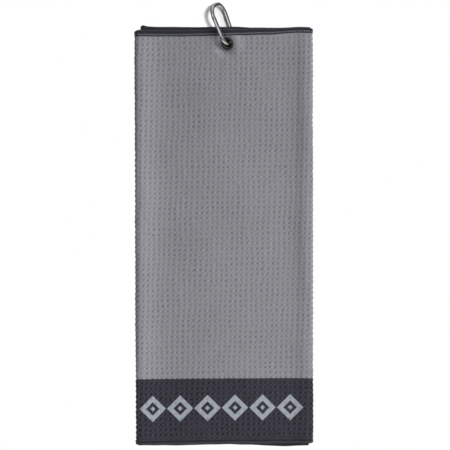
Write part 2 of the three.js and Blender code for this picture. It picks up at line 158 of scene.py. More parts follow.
# Each curve has a list of x stations, then a list of offsets at them.
# how far the front stands forward of its flat plane
front_height = smooth_curve(
    [-84, -82, -79.3, -75, -70, -64.6, -58, -52.9, -35, -18.6, 1,
     20.6, 38, 57.8, 64, 70.5, 76.5, 79, 80.6, 82.5, 84.5],
    [1.7, 2.6, 2.55, 2.0, 1.3, 0.6, 0.15, 0.0, 0.6, 1.3, 1.35,
     1.3, 0.7, 0.1, 0.2, 0.8, 2.4, 2.8, 2.85, 2.65, 2.2],
    sigma=1.6)
# how far each flap's edges rise up the towel
inner_rise = smooth_curve(
    [-80, -77, -73, -60, 16, 26, 55, 84.5],
    [1.8, 2.0, 0.7, 0.55, 0.4, -0.1, -0.3, 0.0],
    sigma=1.2)
outer_rise = smooth_curve(
    [-83, -72, -33, -14, 6, 25, 45, 60, 75, 83],
    [0.0, -0.6, -0.2, 0.3, 0.7, 0.05, -0.9, -1.5, -0.65, -0.2],
    sigma=3.0)
# waviness of the top edge, shared by all the layers
top_wave = smooth_curve(
    [-110, -70, -52, -35, -18, -6, 40, 48, 56, 66, 73, 80, 86],
    [0, 0, -0.42, -0.42, -0.15, 0, 0, -0.38, -0.42, 0.18, 0.30, 0.10, -0.25],
    sigma=2.2)


def hem_pull(across):
    """How much shallower the top hem is by the right fold."""
    tail = 1 - step(across, 92, 130)
    return 0.75 * step(across, 40, 58) * tail + 0.15 * step(across, 20, 40) * tail


# ---------------------------------------------------------------- placing the cloth
def panel_lift(up, x, front_x, on_inner, on_outer):
    """How far the edges of the panels stand out of square, as a shift up the towel."""
    part = np.clip((up + HALF) / (2 * HALF), 0, 1)
    stations = [-86, 4, 86]
    low_end = np.interp(front_x, stations, [-1.7, -0.1, 0.35])
    high_end = np.interp(front_x, stations, [-1.0, 0.1, 1.9])
    lift = low_end * (1 - part) + high_end * part
    lift = lift + top_wave(x) * step(up, 150, 198)
    lift = lift + np.where(on_inner, inner_rise(x) - inner_rise(RIGHT_X), 0.0)
    outer_share = 0.35 + 0.65 * (1 - part)
    return lift + np.where(on_outer, (outer_rise(x) - outer_rise(LEFT_X)) * outer_share, 0.0)


def inner_slip(up, x, on_inner):
    """How far the inner flap slips to the left near its top."""
    return 1.3 * step(up, 178, 200) * np.clip((20 - x) / 100, 0, 1) * on_inner


def left_drift(up, x):
    """Sideways drift of the left edge, up the towel."""
    return np.interp(up, [-203, -62, 203], [0.35, -0.35, -1.2]) * np.clip((20 - x) / 105, 0, 1)


def right_drift(up, x):
    """Sideways drift of the right edge, up the towel."""
    return np.interp(up, [-203, 203], [0.8, 0.45]) * np.clip((x + 20) / 105, 0, 1)


def place(across, up, height):
    """Points (..., 3) in millimetres for cloth coordinates."""
    across, up, height = [np.array(v, float) for v in np.broadcast_arrays(across, up, height)]
    right_angle = np.clip((across - RIGHT_X) / RIGHT_RADIUS, 0, math.pi)
    left_angle = np.clip((LEFT_X - across) / LEFT_RADIUS, 0, math.pi)
    inner = np.clip(across - RIGHT_END, 0, None)
    outer = np.clip(LEFT_END - across, 0, None)
    front_x = np.clip(across, LEFT_X, RIGHT_X)
    right_bulge = RIGHT_RADIUS * np.sin(right_angle)
    left_bulge = LEFT_RADIUS * np.sin(left_angle)
    x = front_x + right_bulge - inner - left_bulge + outer
    y = FRONT_Y + RIGHT_RADIUS * (1 - np.cos(right_angle)) + LEFT_RADIUS * (1 - np.cos(left_angle))
    normal_x = np.sin(right_angle) - np.sin(left_angle)
    normal_y = -np.cos(right_angle) * np.cos(left_angle)
    on_front = np.cos(right_angle / 2) ** 2 * np.cos(left_angle / 2) ** 2

    # the roll on the right and the swell of the middle vary a little up the towel
    calm = 1 - 0.8 * step(up, 168, 192)
    wave = 1 + 0.16 * np.sin(up / 61.0 + 0.8) + 0.09 * np.sin(up / 23.0 + x / 40.0)
    settled = np.where(np.abs(front_x) < 60, calm, 0.75 + 0.25 * calm)
    swell = front_height(front_x) * wave * (0.25 + 0.75 * settled)
    swell = swell + 0.22 * drape(front_x, up) * step(87 - np.abs(front_x), 0, 14) * calm
    # a short, nearly upright crease below the eyelet
    crease = np.exp(-0.5 * ((front_x - 1.3 - 0.05 * (up - 168)) / 1.7) ** 2)
    crease = crease * step(up, 150, 162) * (1 - step(up, 176, 184))
    y = y - (swell + 0.30 * crease) * on_front
    # the outer flap keeps a little waviness of its own
    inside = step(84 - np.abs(x), 0, 20)
    y = y + 0.12 * drape(x * 1.3 + 40, up) * (1 - on_front) * inside * (outer > 0)

    # edges of the panels, which are not quite square
    z = up + panel_lift(up, x, front_x, inner > 0, outer > 0)
    # corners are rounded at the folds and at the free edges
    fold_reach = np.minimum(x - LEFT_X + LEFT_RADIUS, RIGHT_X + RIGHT_RADIUS - x)
    turn = 1 - step(fold_reach, 0.0, 2.4)
    free = 1 - step(np.minimum(INNER_END - across, across - OUTER_END), 0.0, 2.6)
    corner = 1.35 * np.maximum(turn, free)
    z = z - corner * step(up, HALF - 7, HALF) + 0.8 * turn * step(-up, HALF - 7, HALF)
    x = x - inner_slip(up, x, inner > 0)
    x = x + left_drift(up, x)
    x = x + right_drift(up, x)
    x = x + height * normal_x
    y = y + height * normal_y

    # the eyelet clamps the three layers and draws them round to its own plane
    from_x, from_z = x - EYE[0], z - EYE[2]
    rightward = from_x * LEAN_RIGHT[0] + from_z * LEAN_RIGHT[2]
    upward = from_x * LEAN_UP[0] + from_z * LEAN_UP[2]
    clamp = (1 - step(np.hypot(rightward, upward), 6.0, 16.0))[..., None]
    depth = -0.4 + np.clip((y - STACK_Y) / STACK_DEPTH, -0.55, 0.55) * 1.8
    free_point = np.stack([x, y, z], -1)
    turned = (EYE + rightward[..., None] * EYE_SIDE + upward[..., None] * LEAN_UP
              + depth[..., None] * EYE_AXIS)
    return free_point * (1 - clamp) + turned * clamp


# ---------------------------------------------------------------- weave
def weave(across, up):
    """Cell coordinates. The cloth was cut a little off the grain, so its columns lean."""
    column = (across - 0.0233 * up) / CELL_ACROSS
    row = (up + 0.004 * across) / CELL_UP
    column = column + 0.07 * drift_across(across, up) + 0.045 * jitter_across(across, up)
    row = row + 0.07 * drift_up(across, up) + 0.045 * jitter_up(across, up)
    return column, row


def slanted_spot(column, row, width, length):
    """A Gaussian spot in a cell, longer along the diagonal that rises to the right."""
    short_way, long_way = (column - row) / math.sqrt(2), (column + row) / math.sqrt(2)
    return np.exp(-0.5 * ((short_way / width) ** 2 + (long_way / length) ** 2))


def relief(across, up):
    """Height of the waffle relief above the mean face of the cloth."""
    column, row = weave(across, up)
    in_row = row - np.floor(row) - 0.5
    pit = slanted_spot(column - np.floor(column) - 0.5, in_row, width=0.145, length=0.225)
    streak = slanted_spot(column - np.round(column), in_row, width=0.115, length=0.20)
    rib = 0.5 * (1 + np.cos(2 * math.pi * row))
    twill = np.cos(2 * math.pi * (column - row))
    depth = np.clip(1 + 0.42 * pit_depth(across, up), 0.25, 1.7)
    # the ribs stand out where the cloth turns round the folds
    fold = (np.exp(-0.5 * ((across - RIGHT_X - 1.5) / 2.2) ** 2)
            + np.exp(-0.5 * ((across - LEFT_X + 3.2) / 3.0) ** 2))
    rough = 0.10 * edge_wave(across * 2.5, up * 4.0)
    return (-0.32 * pit * depth + 0.06 * rib + 0.14 * streak * depth + 0.05 * twill - 0.03
            + fold * (0.42 * rib - 0.12 + rough))


def fade(up):
    """Relief dies away where the hems press the cloth."""
    return step(up, BOTTOM - 0.2, BOTTOM + 1.6) * (1 - step(up, TOP - 2.2, TOP - 0.4))


# ---------------------------------------------------------------- meshes
def new_mesh(name, points, faces, material, attributes=None):
    """Smooth mesh from points in mm and arrays of faces, each array with its own corner count."""
    faces = [np.asarray(group, np.int32) for group in faces]
    loops = np.concatenate([group.ravel() for group in faces])
    sizes = np.concatenate([np.full(len(group), group.shape[1], np.int32) for group in faces])
    starts = np.concatenate([[0], np.cumsum(sizes)[:-1]]).astype(np.int32)
    mesh = bpy.data.meshes.new(name)
    mesh.vertices.add(len(points))
    positions = (np.asarray(points, float) / MM).astype(np.float32)
    mesh.vertices.foreach_set("co", positions.ravel())
    mesh.loops.add(len(loops))
    mesh.loops.foreach_set("vertex_index", loops)
    mesh.polygons.add(len(sizes))
    mesh.polygons.foreach_set("loop_start", starts)
    mesh.update(calc_edges=True)
    mesh.polygons.foreach_set("use_smooth", np.ones(len(sizes), bool))
    for key, values in (attributes or {}).items():
        attribute = mesh.attributes.new(key, "FLOAT_VECTOR", "POINT")
        attribute.data.foreach_set("vector", np.asarray(values, np.float32).ravel())
    mesh.materials.append(material)
    mesh.update()
    ob = bpy.data.objects.new(name, mesh)
    bpy.context.scene.collection.objects.link(ob)
    return ob


def face_outward(ob):
    editable = bmesh.new()
    editable.from_mesh(ob.data)
    bmesh.ops.recalc_face_normals(editable, faces=editable.faces[:])
    editable.to_mesh(ob.data)
    editable.free()
    ob.data.update()


def grid_faces(columns, rows):
    i, j = np.meshgrid(np.arange(columns - 1), np.arange(rows - 1), indexing="ij")
    first = (i * rows + j).ravel()
    return np.stack([first, first + rows, first + rows + 1, first + 1], 1)


def tube_faces(rings, around):
    """Quads between rings of points that close on themselves."""
    i, j = np.meshgrid(np.arange(rings - 1), np.arange(around), indexing="ij")
    here = (i * around + j).ravel()
    beside = (i * around + (j + 1) % around).ravel()
    return np.stack([here, here + around, beside + around, beside], 1)


def bridge(ring_a, parts_a, ring_b, parts_b):
    """Triangles between two closed rings; parts are rising places along each ring's one turn."""
    triangles, i, j = [], 0, 0
    count_a, count_b = len(ring_a), len(ring_b)
    while i < count_a or j < count_b:
        next_a = parts_a[i + 1] if i + 1 < count_a else 1.0 + parts_a[0]
        next_b = parts_b[j + 1] if j + 1 < count_b else 1.0 + parts_b[0]
        here_a, here_b = ring_a[i % count_a], ring_b[j % count_b]
        if j >= count_b or (i < count_a and next_a <= next_b):
            triangles.append((here_a, here_b, ring_a[(i + 1) % count_a]))
            i += 1
        else:
            triangles.append((here_a, here_b, ring_b[(j + 1) % count_b]))
            j += 1
    return np.array(triangles)


def from_eyelet(across, up):
    """Offsets in x and z from the eyelet on the placed cloth, before the clamp turns it."""
    on_inner, on_outer = across > RIGHT_END, across < LEFT_END
    front_x = np.clip(across, LEFT_X, RIGHT_X)
    x = front_x - np.clip(across - RIGHT_END, 0, None) + np.clip(LEFT_END - across, 0, None)
    lift = panel_lift(up, x, front_x, on_inner, on_outer)
    shift = left_drift(up, x) + right_drift(up, x) - inner_slip(up, x, on_inner)
    return x + shift - EYE[0], up + lift - EYE[2]


def sheet_side(across_steps, up_steps, side, back_relief):
    """Grid for one side of a layer (1 the face, -1 the reverse) with the eyelet hole cut."""
    across, up = np.meshgrid(across_steps, up_steps, indexing="ij")
    index = np.arange(across.size).reshape(across.shape)
    quads = grid_faces(*across.shape)
    across, up = across.ravel(), up.ravel()

    # drop the quads that reach into the hole and move the points left round it onto its circle
    direction = np.where((across > RIGHT_END) | (across < LEFT_END), -1.0, 1.0)
    offset_x, offset_z = from_eyelet(across, up)
    reach = np.hypot(offset_x, offset_z)
    keep = (reach[quads] >= HOLE_RADIUS).all(1)
    hole = np.intersect1d(np.unique(quads[keep]), np.unique(quads[~keep]))
    scale = HOLE_RADIUS / reach[hole]
    across[hole] += direction[hole] * offset_x[hole] * (scale - 1)
    up[hole] += offset_z[hole] * (scale - 1)
    angle = np.arctan2(offset_z[hole], offset_x[hole] * direction[hole])
    order = np.argsort(angle)

    # the hems press the cloth inside them a little thinner
    shown = fade(up)
    half = HALF_CLOTH - 0.22 * (1 - shown)
    if side > 0:
        height = half + relief(across, up) * shown
    else:
        height = -half - back_relief * relief(across + 2.54, up + 2.5) * shown

    rim = np.concatenate([index[:-1, 0], index[-1, :-1], index[:0:-1, -1], index[0, :0:-1]])
    part_across = (across_steps - across_steps[0]) / (across_steps[-1] - across_steps[0])
    part_up = (up_steps - up_steps[0]) / (up_steps[-1] - up_steps[0])
    rim_parts = np.concatenate([part_across[:-1], 1 + part_up[:-1],
                                2 + (1 - part_across[:0:-1]), 3 + (1 - part_up[:0:-1])]) / 4
    return dict(points=place(across, up, height), quads=quads[keep], rim=rim, rim_parts=rim_parts,
                hole=hole[order], hole_parts=angle[order] / (2 * math.pi),
                cloth=np.stack([across, up, np.full(across.size, side)], 1),
                weave=np.stack([*weave(across, up), shown], 1))


def sheet(name, face_steps, back_steps, back_relief=0.0):
    """One closed layer of cloth. The steps are (across, up) for its face and its reverse."""
    face = sheet_side(*face_steps, 1.0, back_relief)
    back = sheet_side(*back_steps, -1.0, back_relief)
    for key in ("quads", "rim", "hole"):
        back[key] = back[key] + len(face["points"])
    edges = [bridge(face["rim"], face["rim_parts"], back["rim"], back["rim_parts"])]
    if len(face["hole"]) and len(back["hole"]):
        edges.append(bridge(face["hole"], face["hole_parts"],
                            back["hole"], back["hole_parts"])[:, ::-1])
    faces = [face["quads"], back["quads"][:, ::-1], np.concatenate(edges)]
    # drop the points inside the hole, which no face uses
    used = np.unique(np.concatenate([group.ravel() for group in faces]))
    points, cloth, cells = [np.concatenate([face[key], back[key]])[used]
                            for key in ("points", "cloth", "weave")]
    renumber = np.full(used[-1] + 1, -1)
    renumber[used] = np.arange(len(used))
    ob = new_mesh(name, points, [renumber[group] for group in faces], CLOTH,
                  {"cloth": cloth, "weave": cells})
    return ob, cloth[:, 0], cloth[:, 1]


def tape(name, edge, inward, profile, along, material, runs_across, pull=None):
    """A hem tape swept along an edge of the cloth.

    profile holds (distance in from the edge, height, nearness to a seam) round a closed loop;
    inward is 1 or -1, and pull shifts the tape's inner edge up the towel.
    """
    distance, height, near = profile.T
    place_along, place_in = np.meshgrid(along, edge + inward * distance, indexing="ij")
    ripple = np.cos(2 * math.pi * place_along / STITCH_PITCH)
    height = height * (1 + 0.07 * ripple * near + 0.03 * edge_wave(place_along, place_in * 3))
    place_in = place_in + 0.10 * edge_wave(place_along, 0.0) + 0.06 * ripple * near
    if pull:
        place_in = place_in + pull(place_along) * distance / distance.max()
    across, up = (place_along, place_in) if runs_across else (place_in, place_along)
    around = len(profile)
    start_cap = np.arange(around)[None]
    end_cap = start_cap + (len(along) - 1) * around
    faces = [tube_faces(len(along), around), start_cap, end_cap[:, ::-1]]
    if not runs_across:
        faces = [group[:, ::-1] for group in faces]
    across, up, height = across.ravel(), up.ravel(), height.ravel()
    cloth = np.stack([place_along.ravel(), place_in.ravel(), height], 1)
    ob = new_mesh(name, place(across, up, height), faces, material, {"cloth": cloth})
    face_outward(ob)
    return ob, across, up


def threads(name, rows, radius, material):
    """Stitches, each a short arched tube, from the rows that stitch_row makes."""
    across_0, up_0, across_1, up_1, height, side = np.concatenate(rows, axis=1)[..., None]
    count, rings, around = len(across_0), 9, 8
    part = np.linspace(0, 1, rings)[None]
    rng = np.random.default_rng(21)
    across = across_0 + (across_1 - across_0) * part + rng.normal(0, 0.05, count)[:, None]
    up = up_0 + (up_1 - up_0) * part + rng.normal(0, 0.05, count)[:, None]
    height = side * (height - 0.22 + 0.30 * np.sin(math.pi * part))
    middle = place(across, up, height)
    normal = place(across, up, height + 0.1 * side) - place(across, up, height - 0.1 * side)
    normal /= np.linalg.norm(normal, axis=-1, keepdims=True) + 1e-12
    tangent = np.gradient(middle, axis=1)
    tangent /= np.linalg.norm(tangent, axis=-1, keepdims=True) + 1e-12
    sideways = np.cross(tangent, normal)
    taper = radius * (0.45 + 0.55 * np.sin(math.pi * np.clip(part, 0.04, 0.96)) ** 0.6)
    angle = np.linspace(0, 2 * math.pi, around, endpoint=False)
    ring = (np.cos(angle)[None, None, :, None] * sideways[:, :, None]
            + np.sin(angle)[None, None, :, None] * normal[:, :, None])
    points = middle[:, :, None] + taper[..., None, None] * ring

    first = (np.arange(count) * rings * around)[:, None]
    quads = (first[..., None] + tube_faces(rings, around)[None]).reshape(-1, 4)
    start_caps = first + np.arange(around)[None]
    end_caps = start_caps + (rings - 1) * around
    shape = (count, rings, around)
    # place along the stitch, place round it, and a random value for each stitch
    cloth = np.stack([np.broadcast_to(part[..., None], shape),
                      np.broadcast_to(angle[None, None], shape) / (2 * math.pi),
                      np.broadcast_to(rng.uniform(0, 1, count)[:, None, None], shape)], -1)
    ob = new_mesh(name, points.reshape(-1, 3), [quads, start_caps[:, ::-1], end_caps], material,
                  {"cloth": cloth.reshape(-1, 3)})
    face_outward(ob)
    return ob, np.repeat(across.ravel(), around), np.repeat(up.ravel(), around)


# ---------------------------------------------------------------- material graphs
def smooth_ramp(tree, low, high, start=0.0, end=1.0):
    """Map Range node that goes smoothly from start to end as its input goes from low to high."""
    node = tree.nodes.new("ShaderNodeMapRange")
    node.interpolation_type = "SMOOTHSTEP"
    for i, value in enumerate((low, high, start, end), 1):
        node.inputs[i].default_value = value
    return node


class Graph:
    """A material's node tree, with arithmetic on its sockets."""

    def __init__(self, name):
        self.material = bpy.data.materials.new(name)
        self.material.use_nodes = True
        self.tree = self.material.node_tree
        self.shader = self.tree.nodes["Principled BSDF"]

    def link(self, value, socket):
        if isinstance(value, Value):
            self.tree.links.new(value.socket, socket)
        elif isinstance(value, tuple) and socket.type == "RGBA":
            socket.default_value = (*value, 1)
        else:
            socket.default_value = value

    def math(self, operation, *values):
        node = self.tree.nodes.new("ShaderNodeMath")
        node.operation = operation
        for i, value in enumerate(values):
            self.link(value, node.inputs[i])
        return Value(self, node.outputs[0])

    def output(self, kind, socket):
        return Value(self, self.tree.nodes.new(kind).outputs[socket])

    def split(self, vector):
        node = self.tree.nodes.new("ShaderNodeSeparateXYZ")
        self.link(vector, node.inputs[0])
        return [Value(self, socket) for socket in node.outputs]

    def attribute(self, name):
        node = self.tree.nodes.new("ShaderNodeAttribute")
        node.attribute_name = name
        return self.split(Value(self, node.outputs["Vector"]))

    def position(self, axes):
        """Object coordinates in mm along the named axes."""
        parts = self.split(self.output("ShaderNodeTexCoord", "Object"))
        return [parts["xyz".index(axis)] * 1000.0 for axis in axes]

    def noise(self, x, y, z, scale=1.0, detail=2.0, rough=0.5):
        combine = self.tree.nodes.new("ShaderNodeCombineXYZ")
        for i, value in enumerate((x, y, z)):
            self.link(value, combine.inputs[i])
        node = self.tree.nodes.new("ShaderNodeTexNoise")
        node.inputs["Scale"].default_value = scale
        node.inputs["Detail"].default_value = detail
        node.inputs["Roughness"].default_value = rough
        self.tree.links.new(combine.outputs[0], node.inputs["Vector"])
        return Value(self, node.outputs[0])

    def smooth(self, value, low, high):
        node = smooth_ramp(self.tree, low, high)
        self.link(value, node.inputs[0])
        return Value(self, node.outputs[0])

    def mix(self, factor, first, second):
        node = self.tree.nodes.new("ShaderNodeMix")
        node.data_type = "RGBA"
        for i, value in ((0, factor), (6, first), (7, second)):
            self.link(value, node.inputs[i])
        return Value(self, node.outputs[2])

    def scale_colour(self, colour, value):
        node = self.tree.nodes.new("ShaderNodeVectorMath")
        node.operation = "SCALE"
        self.link(colour, node.inputs[0])
        self.link(value, node.inputs["Scale"])
        return Value(self, node.outputs[0])

    def bump(self, height, distance, strength):
        node = self.tree.nodes.new("ShaderNodeBump")
        node.inputs["Distance"].default_value = distance
        node.inputs["Strength"].default_value = strength
        self.link(height, node.inputs["Height"])
        self.tree.links.new(node.outputs[0], self.shader.inputs["Normal"])

    def set(self, **inputs):
        for key, value in inputs.items():
            self.link(value, self.shader.inputs[key.replace("_", " ")])


def binary(operation, swapped=False):
    def apply(self, other):
        pair = (other, self) if swapped else (self, other)
        return self.graph.math(operation, *pair)
    return apply


class Value:
    """A node's output socket."""

    def __init__(self, graph, socket):
        self.graph, self.socket = graph, socket

    __add__ = binary("ADD")
    __radd__ = binary("ADD", swapped=True)
    __sub__ = binary("SUBTRACT")
    __rsub__ = binary("SUBTRACT", swapped=True)
    __mul__ = binary("MULTIPLY")
    __truediv__ = binary("DIVIDE")
    min = binary("MINIMUM")

    def sin(self):
        return self.graph.math("SINE", self)

    def abs(self):
        return self.graph.math("ABSOLUTE", self)

    def fract(self):
        return self.graph.math("FRACT", self)


# ---------------------------------------------------------------- materials
BAND_UP = -138.9  # top edge of the dark band at the middle of the front
MOTIF_UP, MOTIF_HALF = -167.7, 13.2  # middle and half height of the diamonds
MOTIF_START, MOTIF_PITCH, MOTIF_COUNT = -83.2, 26.8, 6
MOTIF_END = MOTIF_START + MOTIF_COUNT * MOTIF_PITCH
RIB_GREY, PIT_SHADE_GREY = (0.2345, 0.2352, 0.2520), (0.2180, 0.2335, 0.2645)
BAND_DARK, MOTIF_LIGHT = (0.0338, 0.0312, 0.0425), (0.308, 0.335, 0.368)


def diamond_motif(g, across, up, grain):
    """A row of diamond outlines with solid cores, on the front third."""
    cell = (across - MOTIF_START) / MOTIF_PITCH
    inside = (g.smooth(across, MOTIF_START, MOTIF_START + 0.2)
              * (1 - g.smooth(across, MOTIF_END - 0.2, MOTIF_END)))
    sideways = (cell.fract() - 0.5).abs() * (MOTIF_PITCH / MOTIF_HALF)
    distance = sideways + (up - MOTIF_UP).abs() / MOTIF_HALF + grain * 0.035
    outline = (1 - g.smooth(distance, 0.955, 0.985)) * g.smooth(distance, 0.485, 0.515)
    core = 1 - g.smooth(distance, 0.165, 0.195)
    return (outline + core).min(1.0) * inside


def cloth_material():
    g = Graph("waffle_cloth_woven")
    across, up, side = g.attribute("cloth")
    column, row, amount = g.attribute("weave")

    # pits in the middle of the cells and slanted streaks between them
    in_column = column.fract() - 0.5
    in_row = row.fract() - 0.5
    short_way = (in_column - in_row) * 0.707
    long_way = (in_column + in_row) * 0.707
    pit = 1 - g.smooth(short_way * short_way * 1.75 + long_way * long_way * 0.72, 0.004, 0.085)
    between = (column + 0.5).fract() - 0.5
    short_way = (between - in_row) * 0.707
    long_way = (between + in_row) * 0.707
    slub = g.noise((across - up) * 0.62, (across + up) * 0.20, 5.0, detail=3.0, rough=0.6) - 0.5
    streak_shape = short_way * short_way * 40.0 + long_way * long_way * 8.5
    streak = (1 - g.smooth(streak_shape, 0.02, 0.80)) * (1 + slub * 1.3)

    # mottling, from broad to fine, and the lines of the weave
    broad = g.noise(across, up, 0.0, scale=0.016, detail=3.0) - 0.5
    grain = g.noise(across, up, 3.0, scale=0.9, detail=3.0, rough=0.65) - 0.5
    fuzz = g.noise(across, up, 9.0, scale=3.1, detail=2.0, rough=0.6) - 0.5
    twill = ((across * 0.78 - up * 0.62) * 5.4 + grain * 2.0).sin()
    patchy = g.smooth(g.noise(across, up, 21.0, scale=0.055, detail=3.0, rough=0.6), 0.30, 0.70)
    pit = pit * (patchy * 0.75 + 0.45)
    diagonal = ((column - row) * 12.566 + grain * 3.0).sin()
    rows = (row * 6.2832 + 1.5708).sin()
    patterns = dict(broad=broad, grain=grain, fuzz=fuzz, slub=slub, twill=twill,
                    diagonal=diagonal, rows=rows, streak=streak)

    def weighted(base, pits, **weights):
        """Brightness: a base plus each pattern by its weight, less the pits by theirs."""
        total = base
        for key, weight in weights.items():
            total = total + patterns[key] * weight
        return total - pit * amount * pits

    # painted shade in the pits and painted highlight on the slanted streaks
    tone = weighted(0.965, pits=0.31, broad=0.16, grain=0.48, fuzz=0.50, slub=0.42, twill=0.03,
                    diagonal=0.05, rows=0.016, streak=0.28)
    # painted highlight: a strip by the left fold is painted a little paler where the cloth turns
    # toward the light; painted shade: the head of the towel is painted a little darker
    painted_fold_highlight = g.smooth(across, -84.0, -79.0) * (1 - g.smooth(across, -77.0, -57.0))
    tone = tone * (1 - g.smooth(up, 20.0, 200.0) * 0.05) * (1 + painted_fold_highlight * 0.12)
    # printed band, over the whole width of the cloth, its edge following the ribs of the weave
    edge = up - across * -0.006 - BAND_UP + (column * 6.2832).sin() * 0.16 + grain * 0.8
    band = 1 - g.smooth(edge, -0.35, 0.35)
    # the band also gets painted shade in its pits and painted highlight on its streaks
    band_tone = weighted(0.98, pits=0.64, broad=0.3, grain=1.3, fuzz=1.0, slub=1.4,
                         diagonal=0.14, rows=0.05, streak=0.80)
    # painted shade: the motif is a little darker in the pits
    motif = diamond_motif(g, across, up, grain) * (1 - pit * 0.16)
    face = g.smooth(side, -0.2, 0.2)

    # painted shade: the floor of each pit is painted a little darker and bluer than the ribs, and
    # the motif's light colour a little darker in the pits
    grey = g.scale_colour(g.mix((pit * 0.9).min(1.0), RIB_GREY, PIT_SHADE_GREY), tone)
    dark = g.scale_colour(BAND_DARK, band_tone)
    light = g.scale_colour(MOTIF_LIGHT, 1 + grain * 0.25 + fuzz * 0.15 - pit * 0.10)
    # the band shows through to the reverse only faintly, and the motif not at all
    colour = g.mix(band * (face * 0.55 + 0.45), grey, dark)
    g.set(Base_Color=g.mix(motif * face, colour, light), Roughness=0.93 + grain * 0.10,
          Sheen_Weight=0.12, Sheen_Roughness=0.55, Specular_IOR_Level=0.18)
    g.bump(twill * 0.10 + grain * 1.1 + fuzz * 0.6 - pit * 0.45 + streak * 0.35,
           distance=0.00016, strength=0.8)
    return g.material


def tape_material(name, shade):
    g = Graph(name)
    along, inward, _ = g.attribute("cloth")
    rib = (along * 9.0).sin()
    cross = (inward * 11.0).sin()
    broad = g.noise(along, inward, 0.0, scale=0.05, detail=3.0) - 0.5
    grain = g.noise(along, inward, 4.0, scale=1.6, detail=3.0, rough=0.6) - 0.5
    tone = 1 + rib * 0.07 + cross * 0.04 + broad * 0.35 + grain * 0.8
    g.set(Base_Color=g.scale_colour(shade, tone), Roughness=0.82 + grain * 0.2,
          Sheen_Weight=0.15, Sheen_Roughness=0.5, Specular_IOR_Level=0.25)
    g.bump(rib * 0.5 + cross * 0.3 + grain * 1.0, distance=0.00010, strength=0.8)
    return g.material


def thread_material(name, colour, sheen, shine):
    g = Graph(name)
    along, around, pick = g.attribute("cloth")
    twist = ((along * 3.0 + around * 2.0) * 6.2832).sin()
    grain = g.noise(along, around, pick * 7.0, scale=3.0) - 0.5
    tone = 1 + twist * 0.12 + (pick - 0.5) * 0.30 + grain * 0.2
    g.set(Base_Color=g.scale_colour(colour, tone), Roughness=0.62 + grain * 0.2,
          Sheen_Weight=sheen, Specular_IOR_Level=shine)
    g.bump(twist, distance=0.00006, strength=0.7)
    return g.material


def metal_material(name, colour, rough, wear):
    g = Graph(name)
    x, y, z = g.position("xyz")
    broad = g.noise(x, y, z, scale=0.25, detail=3.0) - 0.5
    fine = g.noise(x * 3.0, y * 3.0, z * 0.7, scale=1.8, detail=4.0, rough=0.65) - 0.5
    scratch = g.noise(x * 0.6 + z, y * 4.0, z * 0.4, scale=1.4, detail=5.0, rough=0.7)
    scratch = g.smooth(scratch, 0.60, 0.72)
    tone = 1 + broad * 0.12 + fine * 0.08 - scratch * wear
    g.set(Base_Color=g.scale_colour(colour, tone), Metallic=1.0,
          Roughness=rough + broad * 0.10 + fine * 0.08 + scratch * wear * 0.5)
    g.bump(fine * 0.5 - scratch * 0.6, distance=0.00002, strength=0.5)
    return g.material


CLOTH = cloth_material()
TAPE = tape_material("hem_tape_woven", shade=(0.0215, 0.0230, 0.0295))
TAPE_LOW = tape_material("hem_tape_woven_bottom", shade=(0.0405, 0.0392, 0.0475))
LIGHT_THREAD = thread_material("light_thread_twisted", (0.45, 0.463, 0.51), sheen=0.2, shine=0.35)
DARK_THREAD = thread_material("dark_thread_twisted", (0.0040, 0.0040, 0.0055),
                              sheen=0.02, shine=0.08)
GUNMETAL = metal_material("gunmetal_plated", (0.085, 0.072, 0.064), rough=0.30, wear=0.15)
NICKEL = metal_material("nickel_polished", (0.76, 0.76, 0.775), rough=0.13, wear=0.18)
SPRING = metal_material("spring_wire_drawn", (0.48, 0.48, 0.50), rough=0.30, wear=0.22)


# ---------------------------------------------------------------- cloth
def span(start, end, pitch):
    return np.linspace(start, end, max(2, int(round(abs(end - start) / pitch)) + 1))


def add_piece(piece, replaced, bends=False):
    ob, across, up = piece
    if bends:
        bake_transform(ob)
    else:
        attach(ob, "towel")
    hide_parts(*replaced)


def up_span(pitch):
    """Steps up the cloth, which ends a little inside the top and bottom hems."""
    return span(BOTTOM - 1.6, TOP + 1.6, pitch)


INNER_CLOTH_END = INNER_END - 2.0  # the cloth ends inside the side hems
OUTER_CLOTH_END = OUTER_END + 2.0
add_piece(sheet("cloth_front",
                (span(LEFT_JOIN, RIGHT_JOIN, CELL_ACROSS / 6), up_span(1.0)),
                (span(LEFT_JOIN, RIGHT_JOIN, 2.54), up_span(5.0))),
          ("front_panel", "left_fold", "left_fold_head", "right_fold"), bends=True)
add_piece(sheet("cloth_inner_flap",
                (span(RIGHT_JOIN, INNER_CLOTH_END, 1.27), up_span(1.25)),
                (span(RIGHT_JOIN, INNER_CLOTH_END, 2.54), up_span(5.0))),
          ("inner_flap",))
add_piece(sheet("cloth_outer_flap",
                (span(OUTER_CLOTH_END, LEFT_JOIN, CELL_ACROSS / 5), up_span(1.0)),
                (span(OUTER_CLOTH_END, LEFT_JOIN, CELL_ACROSS / 3), up_span(5.0 / 3)),
                back_relief=0.8),
          ("outer_flap", "outer_flap_head"), bends=True)


